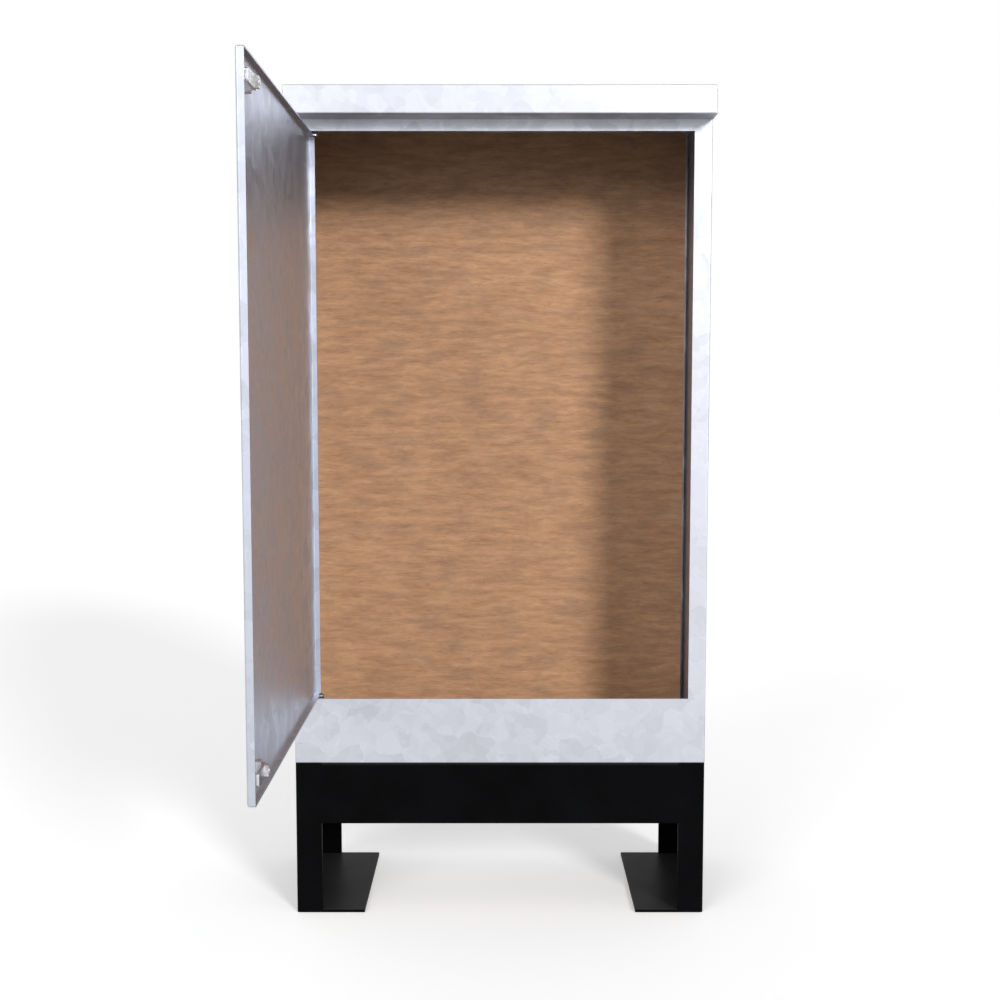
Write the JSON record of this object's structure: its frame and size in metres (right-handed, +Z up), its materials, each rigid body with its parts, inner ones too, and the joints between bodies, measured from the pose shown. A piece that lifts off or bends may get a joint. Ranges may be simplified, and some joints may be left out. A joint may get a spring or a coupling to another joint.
{
  "type": "feeder pillar",
  "caption": "Free-standing street cabinet: galvanised folded-steel body on a black root, inset door with quarter-turn cam locks, plywood backboard inside.",
  "frame": {"origin": "on the floor under the centre of the body's footprint", "axes": "X across the front (the door is hung at -X), -Y to the front, +Z up"},
  "size_m": [0.6, 0.7722, 1.1899],
  "materials": {
    "galvanised_sheet": "matt hot-dip galvanised sheet with a faint spangle",
    "black_root": "satin black paint",
    "plywood_board": "plain rotary-cut plywood",
    "galvanised_bar": "galvanised",
    "zinc_fastener": "bright zinc plate",
    "lock_nut_zinc": "dull zinc plate",
    "lock_body_zinc": "nickel-plated die-cast zinc",
    "lock_cam_steel": "zinc-plated steel",
    "pin_steel": "bright steel",
    "bush_brass": "machined brass"
  },
  "bodies": {
    "cabinet": {"body_wrap": "galvanised_sheet", "back_panel": "galvanised_sheet", "roof_cap": "galvanised_sheet", "keeper_top": "galvanised_sheet", "keeper_bottom": "galvanised_sheet", "hinge_bracket_top": "galvanised_sheet", "hinge_bracket_bottom": "galvanised_sheet", "plinth_side_left": "black_root", "plinth_side_right": "black_root", "plinth_front_apron": "black_root", "plinth_rear_apron": "black_root", "backboard": "plywood_board", "wall_cleat_upper": "galvanised_bar", "wall_cleat_lower": "galvanised_bar", "board_cleat_upper": "galvanised_bar", "board_cleat_lower": "galvanised_bar", "plinth_bolts": "zinc_fastener", "plinth_washers": "zinc_fastener", "plinth_nuts": "zinc_fastener", "cleat_screws": "zinc_fastener", "hinge_pin_top": "pin_steel", "hinge_pin_bottom": "pin_steel", "hinge_spacer_top": "pin_steel", "hinge_spacer_bottom": "pin_steel"},
    "door": {"door_panel": "galvanised_sheet", "hinge_bush_top": "bush_brass", "hinge_bush_bottom": "bush_brass", "lock_housing_top": "lock_body_zinc", "lock_housing_bottom": "lock_body_zinc", "lock_nut_top": "lock_nut_zinc", "lock_nut_bottom": "lock_nut_zinc"},
    "lock_top": {"lock_plug_top": "lock_body_zinc", "lock_cam_top": "lock_cam_steel", "cam_nut_top": "lock_nut_zinc"},
    "lock_bottom": {"lock_plug_bottom": "lock_body_zinc", "lock_cam_bottom": "lock_cam_steel", "cam_nut_bottom": "lock_nut_zinc"}
  },
  "joints": [
    {"name": "door_swing", "type": "hinge", "parent": "cabinet", "child": "door", "pos_m": [-0.263, -0.1117, 0.7268], "axis": [0, 0, 1], "range_deg": [0, 90.1]},
    {"name": "lock_top_turn", "type": "hinge", "parent": "door", "child": "lock_top", "pos_m": [-0.27465, -0.60068, 1.102], "axis": [-1, 0.0017, 0], "range_deg": [0, 90]},
    {"name": "lock_bottom_turn", "type": "hinge", "parent": "door", "child": "lock_bottom", "pos_m": [-0.27465, -0.60068, 0.3515], "axis": [1, -0.0017, 0], "range_deg": [0, 90]}
  ]
}
